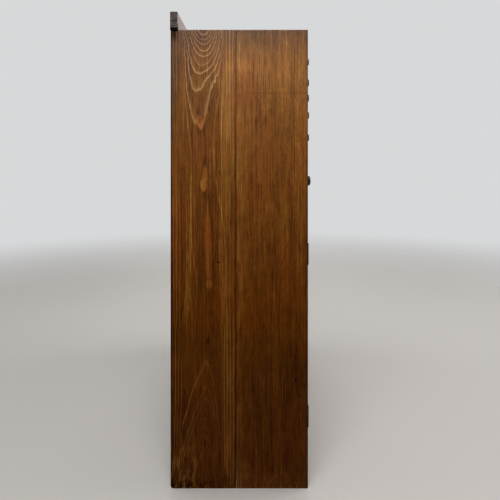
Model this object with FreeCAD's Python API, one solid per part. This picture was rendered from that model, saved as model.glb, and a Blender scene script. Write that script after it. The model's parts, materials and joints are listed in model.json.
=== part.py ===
import FreeCAD, Part
import os

# Haberdashery cabinet: three columns of shallow drawers over two deep drawers
# over a cupboard with a pair of framed doors.
# X runs along the length, the front faces -Y, +Z is up, all in millimetres.
# The origin lies on the floor, in the middle of everything that the cabinet covers.

# Carcase
carcase_height = 1048.0
carcase_depth = 314.0
side_thickness = 20.0
rear_board_width = 149.0
top_thickness = 12.0
deck_thickness = 12.0
shelf_thickness = 16.0
cupboard_shelf_thickness = 14.0
cupboard_shelf_level = 340.0
cupboard_shelf_setback = 30.0
divider_thickness = 12.0
plinth_height = 62.0
plinth_thickness = 16.0
plinth_setback = 12.0
floor_clearance = 2.0

# Drawer bays, clear sizes from the top down
column_count = 3
column_width = 280.0
small_row_heights = (61.0, 32.0, 31.0, 43.0, 57.0)
wide_count = 2
wide_row_height = 143.0

# Carcase joints
housing_depth = 7.0
divider_housing = 4.0
rail_housing = 4.0
top_rebate = 10.0
back_rebate = 10.0
arris_radius = 1.5
worn_corner_radius = 7.0
front_foot_radius = 3.0

# Tongue and groove between the two boards of a side, and its opening at the foot
board_gap = 0.8
tongue_thickness = 6.0
tongue_length = 6.0
tongue_play = 0.2
tongue_root = 1.0
foot_opening = 1.3
foot_opening_height = 150.0
foot_opening_straight = 60.0

# Rails and runners between the rows
rail_thickness = 8.0
rail_depth = 36.0
runner_width = 16.0

# Back boards
back_board_thickness = 9.0
back_board_count = 6
back_board_gap = 0.6
back_tongue_thickness = 3.0
back_tongue_length = 4.0
back_foot_clearance = 15.0

# Upstand, let into a shallow rebate along the back edge of the top, with a gap under its ends
upstand_height = 41.0
upstand_thickness = 17.0
upstand_foot_height = 14.0
upstand_foot_step = 1.2
upstand_overhang = 1.2
upstand_seat = 1.0
upstand_end_gap = 3.0

# Drawers
drawer_side_play = 0.75
drawer_top_play = 1.0
drawer_under_play = 0.3
drawer_setback = 0.5
drawer_end_play = 5.0
drawer_front_thickness = 14.0
drawer_side_thickness = 8.0
drawer_back_thickness = 8.0
drawer_bottom_thickness = 3.0
drawer_bottom_level = 3.2
drawer_bottom_setback = 1.0
drawer_groove = 3.0
drawer_back_drop = 2.0
drawer_back_inset = 6.0
front_chamfer = 0.8
lap_thickness = 4.0
half_pin = 2.2
tail_pitch = 30.0
tail_slope = 1.0 / 6.0

# Turned knobs: a straight neck that flares to the head; a small one has a square rim
small_knob = {"radius": 9.2, "projection": 19.0, "neck": 4.5, "neck_length": 10.5, "bevel": 0.0}
large_knob = {"radius": 12.8, "projection": 23.0, "neck": 6.0, "neck_length": 7.0, "bevel": 4.0}

# Cupboard doors
door_thickness = 20.0
door_gap = 1.0
door_meeting_gap = 2.0
stile_width = 52.0
top_rail_width = 52.0
bottom_rail_width = 66.0
frame_groove = 9.0
frame_groove_width = 6.0
tenon_length = 32.0
tenon_shoulder = 12.0
frame_chamfer = 2.5
panel_play = 1.5
panel_raise = 4.0
panel_bevel = 34.0
field_margin = 0.5
door_knob_level = 392.0

# Butt hinges
hinge_height = 50.0
hinge_inset = 52.0
hinge_knuckles = 3
knuckle_radius = 2.8
knuckle_play = 0.3
leaf_thickness = 1.5
leaf_width = 16.0
hinge_axis_proud = 0.8
hinge_pin_radius = 1.4
pin_running_play = 0.05

# Door stop under the middle shelf
stop_length = 70.0
stop_thickness = 14.0
stop_depth = 16.0
stop_play = 0.3
stop_chamfer = 3.5

# Working values: how far a cutter runs past the face it opens, and what counts as one place
over = 1.0
same_place = 0.001

# Where things come out
inner_length = column_count * column_width + (column_count - 1) * divider_thickness
inner_half = inner_length / 2
half_length = inner_half + side_thickness
front_y = (large_knob["projection"] - carcase_depth - upstand_overhang) / 2
back_y = front_y + carcase_depth
inner_back_y = back_y - back_board_thickness
joint_y = back_y - rear_board_width
upstand_rear_y = back_y + upstand_overhang
upstand_face_y = upstand_rear_y - upstand_thickness
upstand_foot_y = upstand_face_y - upstand_foot_step
top_under = carcase_height - top_thickness
deck_top = top_under - sum(small_row_heights) - (len(small_row_heights) - 1) * rail_thickness
deck_under = deck_top - deck_thickness
shelf_top = deck_under - wide_row_height
shelf_under = shelf_top - shelf_thickness
bottom_top = plinth_height + shelf_thickness
wide_width = (inner_length - (wide_count - 1) * divider_thickness) / wide_count
door_width = (inner_length - 2 * door_gap - door_meeting_gap) / 2
door_bottom = bottom_top + door_gap
door_top = shelf_under - door_gap
hinge_x = -inner_half + door_gap / 2
hinge_y = front_y - hinge_axis_proud
hinge_feet = (door_top - hinge_inset + door_gap - hinge_height, door_bottom + hinge_inset - door_gap)
knuckle_length = hinge_height / hinge_knuckles
up = FreeCAD.Vector(0, 0, 1)
origin = FreeCAD.Vector(0, 0, 0)
along = FreeCAD.Vector(1, 0, 0)


def block(x_span, y_span, z_span):
    corner = FreeCAD.Vector(x_span[0], y_span[0], z_span[0])
    return Part.makeBox(x_span[1] - x_span[0], y_span[1] - y_span[0], z_span[1] - z_span[0], corner)


def prism(points, direction):
    wire = Part.makePolygon(points + [points[0]])
    return Part.Face(wire).extrude(direction)


def rod(radius, z_span, x=hinge_x, y=hinge_y):
    return Part.makeCylinder(radius, z_span[1] - z_span[0], FreeCAD.Vector(x, y, z_span[0]), up)


def mirrored(shape):
    return shape.mirror(origin, along)


def edges_at(shape, x=None, y=None, z=None):
    # Edges whose two ends lie at every coordinate that is given
    wanted = [(axis, value) for axis, value in enumerate((x, y, z)) if value is not None]
    found = []
    for edge in shape.Edges:
        ends = [vertex.Point for vertex in edge.Vertexes]
        if all(abs(end[axis] - value) < same_place for end in ends for axis, value in wanted):
            found.append(edge)
    return found


def column_span(index):
    start = -inner_half + index * (column_width + divider_thickness)
    return (start, start + column_width)


def wide_span(index):
    start = -inner_half + index * (wide_width + divider_thickness)
    return (start, start + wide_width)


def small_row_span(index):
    high = top_under - sum(small_row_heights[:index]) - index * rail_thickness
    return (high - small_row_heights[index], high)


def rail_span(index):
    high = small_row_span(index)[0]
    return (high - rail_thickness, high)


# ---- Sides ----

def knuckle_notch(z_span):
    # The square-cut room for a hinge's knuckles, shared by the side and the door
    reach = knuckle_radius + knuckle_play
    return block((hinge_x - reach, hinge_x + reach), (front_y - over, hinge_y + reach), z_span)


def side_joinery():
    # Everything cut out of the left side: rebates, housings, grooves, hinge gains
    inner_x = -inner_half
    half_x = inner_x - top_rebate
    open_x = inner_x + over
    housed_y = (front_y - over, inner_back_y)
    cuts = [block((half_x, open_x), (front_y - over, back_y + over), (top_under, carcase_height + over))]
    cuts.append(block((inner_x - back_rebate, open_x), (inner_back_y, back_y + over), (-over, top_under)))
    for low, high in ((deck_under, deck_top), (shelf_under, shelf_top), (plinth_height, bottom_top)):
        cuts.append(block((inner_x - housing_depth, open_x), housed_y, (low, high)))
    shelf_y = (front_y + cupboard_shelf_setback, inner_back_y)
    shelf_z = (cupboard_shelf_level, cupboard_shelf_level + cupboard_shelf_thickness)
    cuts.append(block((inner_x - housing_depth, open_x), shelf_y, shelf_z))
    for row in range(len(small_row_heights) - 1):
        cuts.append(block((inner_x - rail_housing, open_x), housed_y, rail_span(row)))
    for foot in hinge_feet:
        gain_z = (foot, foot + hinge_height)
        gain_y = (front_y - over, front_y + leaf_width)
        cuts.append(block((inner_x - leaf_thickness, open_x), gain_y, gain_z))
        cuts.append(knuckle_notch(gain_z))
    notch_z = (carcase_height - upstand_seat - upstand_end_gap, carcase_height + over)
    cuts.append(block((-half_length - over, half_x), (upstand_foot_y, back_y + over), notch_z))
    return cuts


def side_board(y_span, arrises):
    # A board with its outer arrises rounded along the edges named by their y or z
    board = block((-half_length, -inner_half), y_span, (0, carcase_height))
    edges = []
    for place in arrises:
        edges += edges_at(board, x=-half_length, **place)
    return board.makeFillet(arris_radius, edges)


def foot_corner(y, inward, radius):
    # What is worn off a foot corner: a square less a quarter round
    y_span = sorted((y - inward, y + inward * radius))
    square = block((-half_length - over, -inner_half + over), y_span, (-over, radius))
    start = FreeCAD.Vector(-half_length - over, y + inward * radius, radius)
    round_bar = Part.makeCylinder(radius, side_thickness + 2 * over, start, along)
    return square.cut(round_bar)


def left_rear_board():
    board = side_board((joint_y, back_y), ({"y": back_y}, {"z": carcase_height}))
    board = board.cut(foot_corner(back_y, -1, worn_corner_radius))
    middle_x = -half_length + side_thickness / 2
    half_groove = tongue_thickness / 2 + tongue_play / 2
    groove_y = (joint_y - over, joint_y + tongue_length)
    groove = block((middle_x - half_groove, middle_x + half_groove), groove_y, (-over, carcase_height + over))
    return board.cut([groove] + side_joinery())


def left_front_board():
    shoulder_y = joint_y - board_gap
    board = side_board((front_y, shoulder_y), ({"y": front_y}, {"z": carcase_height}))
    board = board.cut(foot_corner(front_y, 1, front_foot_radius))
    middle_x = -half_length + side_thickness / 2
    tongue_x = (middle_x - tongue_thickness / 2, middle_x + tongue_thickness / 2)
    tongue_y = (shoulder_y - tongue_root, joint_y + tongue_length - tongue_play)
    tongue = block(tongue_x, tongue_y, (0, carcase_height))
    outside = -half_length - over
    opening = prism([
        FreeCAD.Vector(outside, shoulder_y + over, -over),
        FreeCAD.Vector(outside, shoulder_y - foot_opening, -over),
        FreeCAD.Vector(outside, shoulder_y - foot_opening, foot_opening_straight),
        FreeCAD.Vector(outside, shoulder_y, foot_opening_height),
        FreeCAD.Vector(outside, shoulder_y + over, foot_opening_height),
    ], FreeCAD.Vector(tongue_x[0] - outside, 0, 0))
    return board.cut(opening).fuse(tongue).cut(side_joinery()).removeSplitter()


# ---- Boards inside the carcase ----

def top_board():
    reach = inner_half + top_rebate
    board = block((-reach, reach), (front_y, back_y), (top_under, carcase_height))
    board = board.makeFillet(arris_radius, edges_at(board, y=front_y, z=carcase_height))
    cuts = divider_housings(top_under - over, top_under + divider_housing)
    seat_z = (carcase_height - upstand_seat, carcase_height + over)
    cuts.append(block((-reach - over, reach + over), (upstand_foot_y, back_y + over), seat_z))
    return board.cut(cuts)


def divider_housings(low, high):
    cuts = []
    for index in range(column_count - 1):
        start = column_span(index)[1]
        cuts.append(block((start, start + divider_thickness), (front_y - over, inner_back_y), (low, high)))
    return cuts


def centre_span():
    start = wide_span(0)[1]
    return (start, start + divider_thickness)


def housed_board(low, high, y_start=front_y):
    reach = inner_half + housing_depth
    return block((-reach, reach), (y_start, inner_back_y), (low, high))


def drawer_deck():
    board = housed_board(deck_under, deck_top)
    cuts = divider_housings(deck_top - divider_housing, deck_top + over)
    centre_z = (deck_under - over, deck_under + divider_housing)
    cuts.append(block(centre_span(), (front_y - over, inner_back_y), centre_z))
    return board.cut(cuts)


def middle_shelf():
    board = housed_board(shelf_under, shelf_top)
    housing_z = (shelf_top - divider_housing, shelf_top + over)
    return board.cut(block(centre_span(), (front_y - over, inner_back_y), housing_z))


def cupboard_shelf():
    high = cupboard_shelf_level + cupboard_shelf_thickness
    return housed_board(cupboard_shelf_level, high, front_y + cupboard_shelf_setback)


def column_divider(index):
    start = column_span(index)[1]
    x_span = (start, start + divider_thickness)
    z_span = (deck_top - divider_housing, top_under + divider_housing)
    board = block(x_span, (front_y, inner_back_y), z_span)
    cuts = []
    for row in range(len(small_row_heights) - 1):
        groove_y = (front_y - over, inner_back_y + over)
        cuts.append(block((start - over, start + rail_housing), groove_y, rail_span(row)))
        far = start + divider_thickness
        cuts.append(block((far - rail_housing, far + over), groove_y, rail_span(row)))
    return board.cut(cuts)


def centre_divider():
    z_span = (shelf_top - divider_housing, deck_under + divider_housing)
    return block(centre_span(), (front_y, inner_back_y), z_span)


def drawer_rails():
    rails = []
    for row in range(len(small_row_heights) - 1):
        for column in range(column_count):
            low_x, high_x = column_span(column)
            x_span = (low_x - rail_housing, high_x + rail_housing)
            rails.append(block(x_span, (front_y, front_y + rail_depth), rail_span(row)))
    return rails


def drawer_runners():
    runners = []
    y_span = (front_y + rail_depth, inner_back_y)
    for row in range(len(small_row_heights) - 1):
        for column in range(column_count):
            low_x, high_x = column_span(column)
            for x_span in ((low_x - rail_housing, low_x + runner_width),
                           (high_x - runner_width, high_x + rail_housing)):
                runners.append(block(x_span, y_span, rail_span(row)))
    return runners


def back_boards():
    # Tongued and grooved boards, each one a profile drawn in plan
    reach = inner_half + back_rebate
    width = 2 * reach / back_board_count
    mid_y = back_y - back_board_thickness / 2
    tongue_y = (mid_y - back_tongue_thickness / 2, mid_y + back_tongue_thickness / 2)
    z_span = (back_foot_clearance, top_under)
    boards = []
    for index in range(back_board_count):
        low_x = -reach + index * width
        high_x = low_x + width
        board_x = (low_x, high_x - (back_board_gap if index < back_board_count - 1 else 0))
        board = block(board_x, (inner_back_y, back_y), z_span)
        if index > 0:
            groove_x = (low_x - over, low_x + back_tongue_length)
            board = board.cut(block(groove_x, tongue_y, z_span))
        if index < back_board_count - 1:
            tongue_x = (high_x - back_board_gap - tongue_root, high_x + back_tongue_length)
            board = board.fuse(block(tongue_x, tongue_y, z_span)).removeSplitter()
        boards.append(board)
    return boards


def upstand():
    # A rail with a slightly thicker foot, drawn as its end profile
    low = carcase_height - upstand_seat
    top = carcase_height + upstand_height
    step = carcase_height + upstand_foot_height
    x = -half_length
    rail = prism([
        FreeCAD.Vector(x, upstand_rear_y, low),
        FreeCAD.Vector(x, upstand_rear_y, top),
        FreeCAD.Vector(x, upstand_face_y, top),
        FreeCAD.Vector(x, upstand_face_y, step),
        FreeCAD.Vector(x, upstand_foot_y, step - upstand_foot_step),
        FreeCAD.Vector(x, upstand_foot_y, low),
    ], FreeCAD.Vector(2 * half_length, 0, 0))
    edges = edges_at(rail, y=upstand_face_y, z=top) + edges_at(rail, y=upstand_rear_y, z=top)
    return rail.makeFillet(arris_radius, edges)


def plinth_board():
    y_span = (front_y + plinth_setback, front_y + plinth_setback + plinth_thickness)
    return block((-inner_half, inner_half), y_span, (floor_clearance, plinth_height))


def door_stop():
    start = front_y + door_thickness + stop_play
    end = start + stop_depth
    low = shelf_under - stop_thickness
    board = block((-stop_length / 2, stop_length / 2), (start, end), (low, shelf_under))
    return board.makeChamfer(stop_chamfer, edges_at(board, y=end, z=low))


# ---- Drawers ----

def drawer_box(x_span, z_span):
    # The outside of a drawer in its bay: x, y and z spans
    x = (x_span[0] + drawer_side_play, x_span[1] - drawer_side_play)
    y = (front_y + drawer_setback, inner_back_y - drawer_end_play)
    z = (z_span[0] + drawer_under_play, z_span[1] - drawer_top_play)
    return x, y, z


def dovetails(x_span, y_root, z_span):
    # The tails of one drawer side, wide end forward, stopped short by the lap
    count = max(1, round((z_span[1] - z_span[0]) / tail_pitch))
    pitch = (z_span[1] - z_span[0]) / count
    length = drawer_front_thickness - lap_thickness
    half_tip = pitch / 2 - half_pin
    half_root = half_tip - length * tail_slope
    tails = []
    for index in range(count):
        centre = z_span[0] + (index + 0.5) * pitch
        tails.append(prism([
            FreeCAD.Vector(x_span[0], y_root, centre - half_root),
            FreeCAD.Vector(x_span[0], y_root - length, centre - half_tip),
            FreeCAD.Vector(x_span[0], y_root - length, centre + half_tip),
            FreeCAD.Vector(x_span[0], y_root, centre + half_root),
        ], FreeCAD.Vector(x_span[1] - x_span[0], 0, 0)))
    return tails


def drawer(x_bay, z_bay):
    x, y, z = drawer_box(x_bay, z_bay)
    root = y[0] + drawer_front_thickness
    left_x = (x[0], x[0] + drawer_side_thickness)
    right_x = (x[1] - drawer_side_thickness, x[1])
    left_tails = dovetails(left_x, root, z)
    right_tails = dovetails(right_x, root, z)
    groove_z = (z[0] + drawer_bottom_level, z[0] + drawer_bottom_level + drawer_bottom_thickness)
    groove_x = (left_x[1] - drawer_groove, right_x[0] + drawer_groove)
    groove = block(groove_x, (root - drawer_groove, y[1] + over), groove_z)
    back_front = y[1] - drawer_back_inset - drawer_back_thickness
    back = block(groove_x, (back_front, back_front + drawer_back_thickness),
                 (groove_z[1], z[1] - drawer_back_drop))
    front = block(x, (y[0], root), z)
    front = front.makeChamfer(front_chamfer, edges_at(front, y=y[0]))
    front = front.cut(left_tails + right_tails + [groove])
    pieces = [front]
    for side_x, tails in ((left_x, left_tails), (right_x, right_tails)):
        side = block(side_x, (root, y[1]), z).fuse(tails).removeSplitter()
        pieces.append(side.cut([groove, back]))
    pieces.append(back)
    pieces.append(block(groove_x, (root - drawer_groove, y[1] - drawer_bottom_setback), groove_z))
    return pieces


def turned_knob(place, face_y, knob):
    # A neck and a flared, flat-faced head, turned about the line out of the front
    x, z = place
    radius = knob["radius"]
    reach = knob["projection"]
    bevel = knob["bevel"]
    neck = knob["neck"]

    def point(r, out):
        return FreeCAD.Vector(x + r, face_y - out, z)

    outline = [point(0, 0), point(neck, 0), point(neck, knob["neck_length"]), point(radius, reach - bevel)]
    if bevel > 0:
        outline.append(point(radius - bevel, reach))
    outline.append(point(0, reach))
    profile = Part.Face(Part.makePolygon(outline + [outline[0]]))
    return profile.revolve(FreeCAD.Vector(x, face_y, z), FreeCAD.Vector(0, 1, 0), 360)


def small_drawer_knob_places(x_bay, z_bay):
    return [((x_bay[0] + x_bay[1]) / 2, (z_bay[0] + z_bay[1]) / 2)]


def wide_drawer_knob_places(x_bay, z_bay):
    height = (z_bay[0] + z_bay[1]) / 2
    inset = column_width / 2
    return [(x_bay[0] + inset, height), (x_bay[1] - inset, height)]


# ---- Doors, modelled for the left and mirrored ----

def door_spans():
    low_x = -inner_half + door_gap
    return (low_x, low_x + door_width), (front_y, front_y + door_thickness), (door_bottom, door_top)


def panel_plane():
    # The slice of the door's thickness taken by the groove, the tenons and the panel's edge
    centre = front_y + door_thickness / 2
    return (centre - frame_groove_width / 2, centre + frame_groove_width / 2)


def stile(x_span, inner_side):
    # inner_side is +1 when the panel lies on the stile's +X side
    _, y, z = door_spans()
    board = block(x_span, y, z)
    inner_x = x_span[1] if inner_side > 0 else x_span[0]
    board = board.makeChamfer(frame_chamfer, edges_at(board, x=inner_x, y=y[0]))
    reaches = [(frame_groove, (z[0] - over, z[1] + over))]
    reaches.append((tenon_length, (z[0] + tenon_shoulder, z[0] + bottom_rail_width)))
    reaches.append((tenon_length, (z[1] - top_rail_width, z[1] - tenon_shoulder)))
    cuts = []
    for depth, z_span in reaches:
        x_cut = sorted((inner_x - inner_side * depth, inner_x + inner_side * over))
        cuts.append(block(x_cut, panel_plane(), z_span))
    return board.cut(cuts)


def door_rail(z_span, groove_up):
    # A rail with a haunched tenon at both ends; groove_up when the panel is above it
    x, y, z = door_spans()
    shoulders = (x[0] + stile_width, x[1] - stile_width)
    inner_z = z_span[1] if groove_up else z_span[0]
    board = block(shoulders, y, z_span)
    board = board.makeChamfer(frame_chamfer, edges_at(board, y=y[0], z=inner_z))
    groove_z = sorted((inner_z, inner_z - frame_groove if groove_up else inner_z + frame_groove))
    board = board.cut(block((shoulders[0] - over, shoulders[1] + over), panel_plane(), groove_z))
    haunch_x = (shoulders[0] - frame_groove, shoulders[1] + frame_groove)
    tenon_x = (shoulders[0] - tenon_length, shoulders[1] + tenon_length)
    outer_z = z_span[0] if groove_up else z_span[1]
    shoulder_z = outer_z + tenon_shoulder if groove_up else outer_z - tenon_shoulder
    root_z = inner_z - frame_groove if groove_up else inner_z + frame_groove
    haunch = block(haunch_x, panel_plane(), sorted((outer_z, root_z)))
    tenon = block(tenon_x, panel_plane(), sorted((shoulder_z, root_z)))
    return board.fuse([haunch, tenon]).removeSplitter()


def left_door_frame():
    x, y, z = door_spans()
    hinge_stile = stile((x[0], x[0] + stile_width), 1)
    for foot in hinge_feet:
        gain_z = (foot, foot + hinge_height)
        gain = block((x[0] - over, x[0] + leaf_thickness), (y[0] - over, y[0] + leaf_width), gain_z)
        hinge_stile = hinge_stile.cut([gain, knuckle_notch(gain_z)])
    meeting_stile = stile((x[1] - stile_width, x[1]), -1)
    lower = door_rail((z[0], z[0] + bottom_rail_width), True)
    upper = door_rail((z[1] - top_rail_width, z[1]), False)
    return [hinge_stile, meeting_stile, lower, upper]


def door_knob_place():
    x, _, _ = door_spans()
    return (x[1] - stile_width / 2, door_knob_level)


def left_door_panel():
    # A thin rim that floats in the groove, and a field raised towards the front
    x, _, z = door_spans()
    inset = stile_width - frame_groove + panel_play
    rim_x = (x[0] + inset, x[1] - inset)
    rim_z = (z[0] + bottom_rail_width - frame_groove + panel_play,
             z[1] - top_rail_width + frame_groove - panel_play)
    rim_y = panel_plane()
    rim = block(rim_x, rim_y, rim_z)
    sight_x = (x[0] + stile_width, x[1] - stile_width)
    sight_z = (z[0] + bottom_rail_width, z[1] - top_rail_width)
    return rim.fuse(raised_field(sight_x, sight_z, rim_y[0])).removeSplitter()


def raised_field(sight_x, sight_z, face_y):
    # A low frustum with flat sloping margins
    def corners(inset, y):
        low_x, high_x = sight_x[0] + inset, sight_x[1] - inset
        low_z, high_z = sight_z[0] + inset, sight_z[1] - inset
        return [FreeCAD.Vector(x, y, z) for x, z in
                ((low_x, low_z), (high_x, low_z), (high_x, high_z), (low_x, high_z))]

    base = corners(field_margin, face_y)
    field = corners(panel_bevel, face_y - panel_raise)
    rings = [base, field]
    for index in range(4):
        after = (index + 1) % 4
        rings.append([base[index], base[after], field[after], field[index]])
    faces = [Part.Face(Part.makePolygon(ring + [ring[0]])) for ring in rings]
    return Part.Solid(Part.Shell(faces))


# ---- Hinges, modelled for the left and mirrored ----

def knuckles(foot, parity, play):
    spans = []
    for index in range(hinge_knuckles):
        if index % 2 == parity:
            low = foot + index * knuckle_length
            spans.append((low + play, low + knuckle_length - play))
    return spans


def hinge_leaf(foot, parity, x_span, play):
    # A flat leaf with its knuckles, cut back round the other leaf's knuckles
    leaf = block(x_span, (hinge_y, front_y + leaf_width), (foot, foot + hinge_height))
    leaf = leaf.cut([knuckle_notch(span) for span in knuckles(foot, 1 - parity, 0)])
    return leaf.fuse([rod(knuckle_radius, span) for span in knuckles(foot, parity, play)])


def fixed_leaves():
    # The leaves on the sides, each with its pin riveted in the knuckles
    x_span = (-inner_half - leaf_thickness, -inner_half)
    pieces = []
    for foot in hinge_feet:
        pin = rod(hinge_pin_radius, (foot, foot + hinge_height))
        pieces.append(hinge_leaf(foot, 0, x_span, 0).fuse(pin).removeSplitter())
    return pieces + [mirrored(piece) for piece in pieces]


def left_door_leaves():
    edge = -inner_half + door_gap
    pieces = []
    for foot in hinge_feet:
        bore = rod(hinge_pin_radius + pin_running_play, (foot - over, foot + hinge_height + over))
        leaf = hinge_leaf(foot, 1, (edge, edge + leaf_thickness), knuckle_play)
        pieces.append(leaf.cut(bore).removeSplitter())
    return pieces


# ---- All nodes ----

def carcase_nodes():
    rear = left_rear_board()
    front = left_front_board()
    return {
        "side_left_rear_board": [rear],
        "side_left_front_board": [front],
        "side_right_rear_board": [mirrored(rear)],
        "side_right_front_board": [mirrored(front)],
        "top_board": [top_board()],
        "drawer_deck": [drawer_deck()],
        "middle_shelf": [middle_shelf()],
        "cupboard_shelf": [cupboard_shelf()],
        "bottom_board": [housed_board(plinth_height, bottom_top)],
        "column_dividers": [column_divider(index) for index in range(column_count - 1)],
        "centre_divider": [centre_divider()],
        "drawer_rails": drawer_rails(),
        "drawer_runners": drawer_runners(),
        "back_boards": back_boards(),
        "upstand": [upstand()],
        "plinth_board": [plinth_board()],
        "door_stop": [door_stop()],
        "hinge_fixed_leaves": fixed_leaves(),
    }


def drawer_nodes():
    nodes = {}
    face_y = front_y + drawer_setback
    for row in range(len(small_row_heights)):
        for column in range(column_count):
            bay = (column_span(column), small_row_span(row))
            places = small_drawer_knob_places(*bay)
            name = f"drawer_{row + 1}_{column + 1}"
            nodes[name] = drawer(*bay)
            nodes[name + "_knob"] = [turned_knob(place, face_y, small_knob) for place in places]
    for index in range(wide_count):
        bay = (wide_span(index), (shelf_top, deck_under))
        places = wide_drawer_knob_places(*bay)
        name = f"wide_drawer_{index + 1}"
        nodes[name] = drawer(*bay)
        nodes[name + "_knobs"] = [turned_knob(place, face_y, large_knob) for place in places]
    return nodes


def door_nodes():
    left = {
        "frame": left_door_frame(),
        "panel": [left_door_panel()],
        "knob": [turned_knob(door_knob_place(), front_y, large_knob)],
        "hinge_leaves": left_door_leaves(),
    }
    nodes = {}
    for name, pieces in left.items():
        nodes["door_left_" + name] = pieces
        nodes["door_right_" + name] = [mirrored(piece) for piece in pieces]
    return nodes


os.makedirs("parts", exist_ok=True)
all_nodes = {**carcase_nodes(), **drawer_nodes(), **door_nodes()}
for node, pieces in all_nodes.items():
    shape = pieces[0] if len(pieces) == 1 else Part.makeCompound(pieces)
    shape.exportStep(f"parts/{node}.step")
print(len(all_nodes), "nodes,", sum(len(pieces) for pieces in all_nodes.values()), "pieces")
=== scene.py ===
import json
import math
import bpy
from mathutils import Matrix, Vector

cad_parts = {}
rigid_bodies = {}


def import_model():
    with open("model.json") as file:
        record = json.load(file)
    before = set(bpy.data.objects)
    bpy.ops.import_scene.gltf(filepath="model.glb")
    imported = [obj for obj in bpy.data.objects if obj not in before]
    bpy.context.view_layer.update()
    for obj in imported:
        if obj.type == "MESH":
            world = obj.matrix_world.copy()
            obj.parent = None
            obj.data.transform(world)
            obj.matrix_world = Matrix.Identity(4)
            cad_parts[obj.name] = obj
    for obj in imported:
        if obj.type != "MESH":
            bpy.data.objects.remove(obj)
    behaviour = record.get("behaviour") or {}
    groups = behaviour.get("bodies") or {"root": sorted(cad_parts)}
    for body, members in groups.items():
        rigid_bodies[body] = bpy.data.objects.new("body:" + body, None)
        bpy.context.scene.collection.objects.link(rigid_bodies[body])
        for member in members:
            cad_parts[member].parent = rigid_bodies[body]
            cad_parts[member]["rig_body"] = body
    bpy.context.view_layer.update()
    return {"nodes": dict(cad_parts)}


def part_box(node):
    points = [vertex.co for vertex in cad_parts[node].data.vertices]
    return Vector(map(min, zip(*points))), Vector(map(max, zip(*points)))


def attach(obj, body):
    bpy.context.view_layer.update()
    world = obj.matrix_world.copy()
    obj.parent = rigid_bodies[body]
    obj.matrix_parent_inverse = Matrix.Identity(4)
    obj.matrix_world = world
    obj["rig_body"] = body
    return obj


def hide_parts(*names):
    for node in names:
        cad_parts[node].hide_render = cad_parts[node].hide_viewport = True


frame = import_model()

nodes = frame["nodes"]
nodeBody = {node: obj["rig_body"] for node, obj in nodes.items()}
print("frame loaded:", len(nodes), "nodes")


def operator(operation, swapped=False):
    # A method that adds one Math node
    def apply(self, *others):
        return self.net.math(operation, *((*others, self) if swapped else (self, *others)))

    return apply


class Value:
    # A socket that takes part in plain arithmetic
    def __init__(self, net, socket):
        self.net = net
        self.socket = socket

    __add__ = __radd__ = operator("ADD")
    __sub__ = operator("SUBTRACT")
    __rsub__ = operator("SUBTRACT", swapped=True)
    __mul__ = __rmul__ = operator("MULTIPLY")
    __truediv__ = operator("DIVIDE")
    __pow__ = operator("POWER")
    __abs__ = operator("ABSOLUTE")
    most, least = operator("MAXIMUM"), operator("MINIMUM")
    over, under = operator("GREATER_THAN"), operator("LESS_THAN")
    floor, fract, root, sine = operator("FLOOR"), operator("FRACT"), operator("SQRT"), operator("SINE")

    def clamp(self):
        return self.net.math("ADD", self, 0, clamp=True)

    def step(self, low, high):
        # Smooth rise from 0 at low to 1 at high, or a fall where high is the smaller
        return self.net.node("MapRange", {"interpolation_type": "SMOOTHSTEP"},
                             {0: self, 1: low, 2: high, 3: 0, 4: 1})


class Net:
    # The nodes of one material, or of the world that is given as its owner
    def __init__(self, name, owner=None):
        self.owner = owner or bpy.data.materials.new(name)
        self.owner.use_nodes = True
        self.tree = self.owner.node_tree
        self.tree.nodes.clear()

    def node(self, kind, settings, inputs, outputs=(0,)):
        made = self.tree.nodes.new("ShaderNode" + kind)
        for key, value in settings.items():
            setattr(made, key, value)
        for key, value in inputs.items():
            if isinstance(value, Value):
                self.tree.links.new(value.socket, made.inputs[key])
            else:
                made.inputs[key].default_value = value
        found = [Value(self, made.outputs[key]) for key in outputs]
        return found[0] if len(found) == 1 else found

    def math(self, operation, *values, clamp=False):
        return self.node("Math", {"operation": operation, "use_clamp": clamp}, dict(enumerate(values)))

    def point(self):
        place = self.node("TexCoord", {}, {}, ("Object",))
        return self.node("SeparateXYZ", {}, {0: place}, ("X", "Y", "Z"))

    def noise(self, x, y, z, detail=2, roughness=0.5):
        place = self.node("CombineXYZ", {}, {0: x, 1: y, 2: z})
        return self.node("TexNoise", {}, {"Vector": place, "Scale": 1, "Detail": detail, "Roughness": roughness})

    def mix(self, share, a, b, blend="MIX"):
        return self.node("Mix", {"data_type": "RGBA", "blend_type": blend}, {0: share, 6: a, 7: b}, (2,))

    def ramp(self, value, stops, ease="LINEAR"):
        read = self.node("ValToRGB", {}, {0: value})
        ramp = read.socket.node.color_ramp
        ramp.interpolation = ease
        stops = sorted(stops)
        ramp.elements[0].position, ramp.elements[-1].position = stops[0][0], stops[-1][0]
        for place, shade in stops[1:-1]:
            ramp.elements.new(place)
        for element, (place, shade) in zip(ramp.elements, stops):
            element.color = shade if isinstance(shade, tuple) else (shade, shade, shade, 1)
        return read

    def shades(self, value, stops):
        # A colour read off stops of (at, stain)
        return self.ramp(value, [(at, stain(text)) for at, text in stops])

    def curve(self, value, stops, ease="CARDINAL"):
        # A number read off a curve drawn through the given (at, number) stops
        ats = [at for at, number in stops]
        numbers = [number for at, number in stops]
        low, high, base, top = min(ats), max(ats), min(numbers), max(numbers)
        places = [((at - low) / (high - low), (number - base) / (top - base)) for at, number in stops]
        return self.ramp((value - low) / (high - low), places, ease) * (top - base) + base

    def surface(self, inputs):
        shader = self.node("BsdfPrincipled", {}, inputs)
        self.node("OutputMaterial", {}, {"Surface": shader}, ())
        return self.owner


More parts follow.
